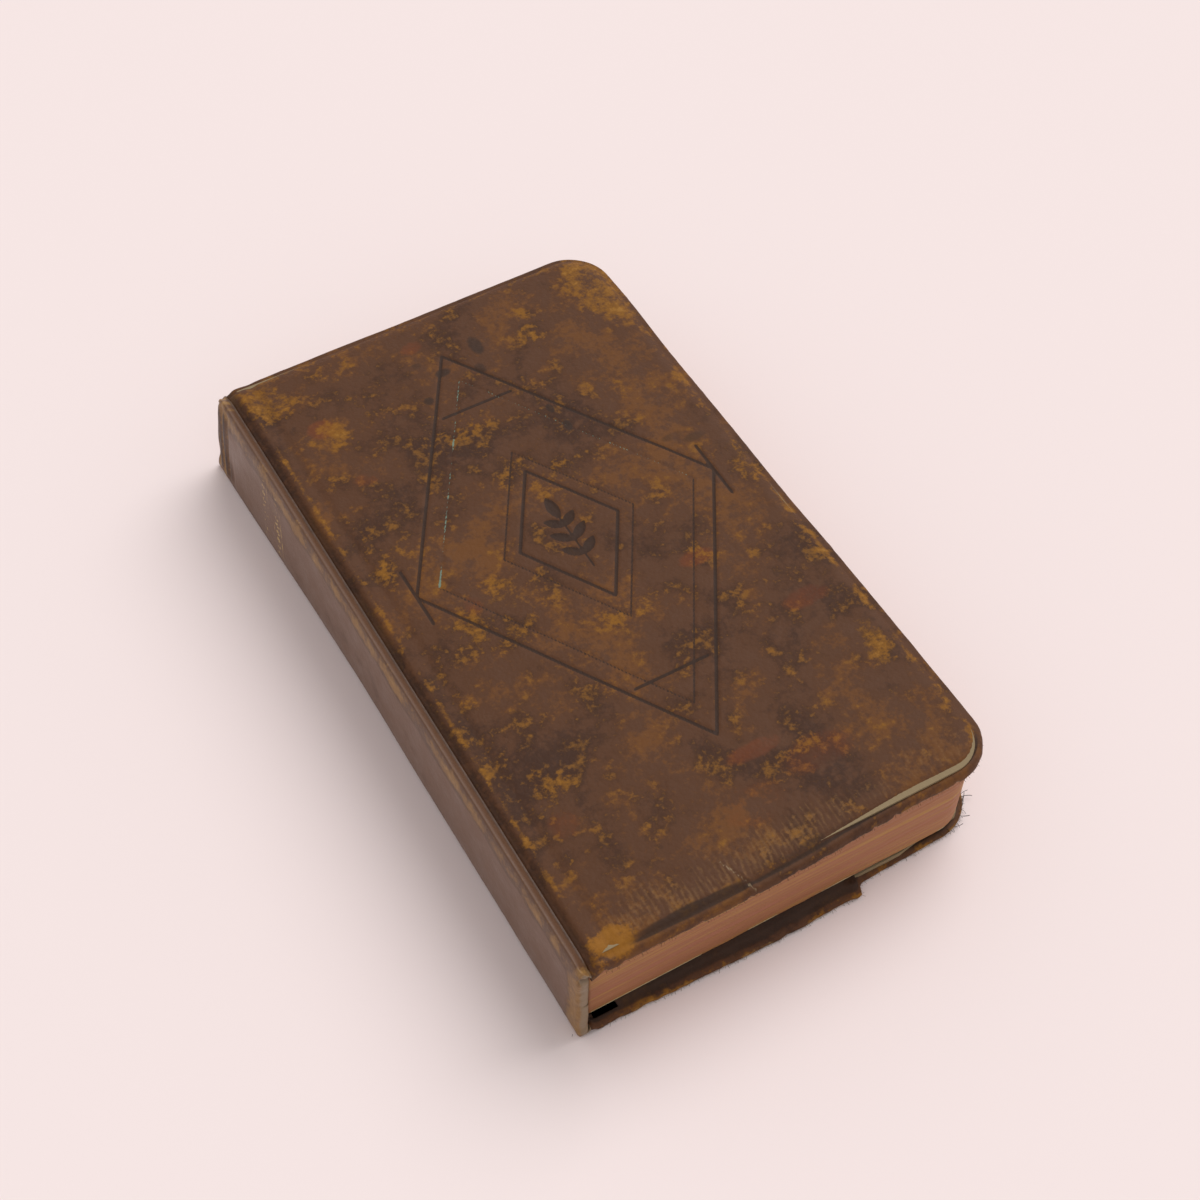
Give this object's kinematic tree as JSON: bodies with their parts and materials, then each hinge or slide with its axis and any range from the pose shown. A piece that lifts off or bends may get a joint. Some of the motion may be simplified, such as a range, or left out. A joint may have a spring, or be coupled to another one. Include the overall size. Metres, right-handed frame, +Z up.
{
  "type": "leather-bound book",
  "caption": "Small pocket book in limp worn leather with blind-tooled cover, closed on its back cover; both covers hinge at grooved joints.",
  "frame": {"origin": "on the table, under the middle of the closed book", "axes": "+X from the spine to the fore-edge, +Y from the tail to the head, +Z up from the back cover to the front cover"},
  "size_m": [0.102, 0.1746, 0.028],
  "materials": {
    "cover_leather": "worn brown leather, mottled, satin",
    "spine_leather": "rubbed smooth brown leather",
    "page_edges": "faded red and gilt page edges",
    "endpaper": "yellowed matt paper",
    "lining_paper": "brown paper lining",
    "mull_cloth": "open-weave cotton",
    "board": "grey-brown pulp board"
  },
  "bodies": {
    "back_cover": {"back_leather": "cover_leather", "back_board": "board", "back_pastedown": "endpaper"},
    "pages": {"text_block": "page_edges", "spine_mull": "mull_cloth", "spine_lining": "lining_paper", "spine_leather": "spine_leather", "front_flyleaf": "endpaper", "back_flyleaf": "endpaper"},
    "front_cover": {"front_leather": "cover_leather", "front_board": "board", "front_pastedown": "endpaper"}
  },
  "joints": [
    {"name": "back_joint", "type": "hinge", "parent": "back_cover", "child": "pages", "pos_m": [-0.048, 0, -0.00015], "axis": [0, 1, 0], "range_deg": [-90, 0]},
    {"name": "front_joint", "type": "hinge", "parent": "pages", "child": "front_cover", "pos_m": [-0.048, 0, 0.02815], "axis": [0, -1, 0], "range_deg": [0, 180]}
  ]
}
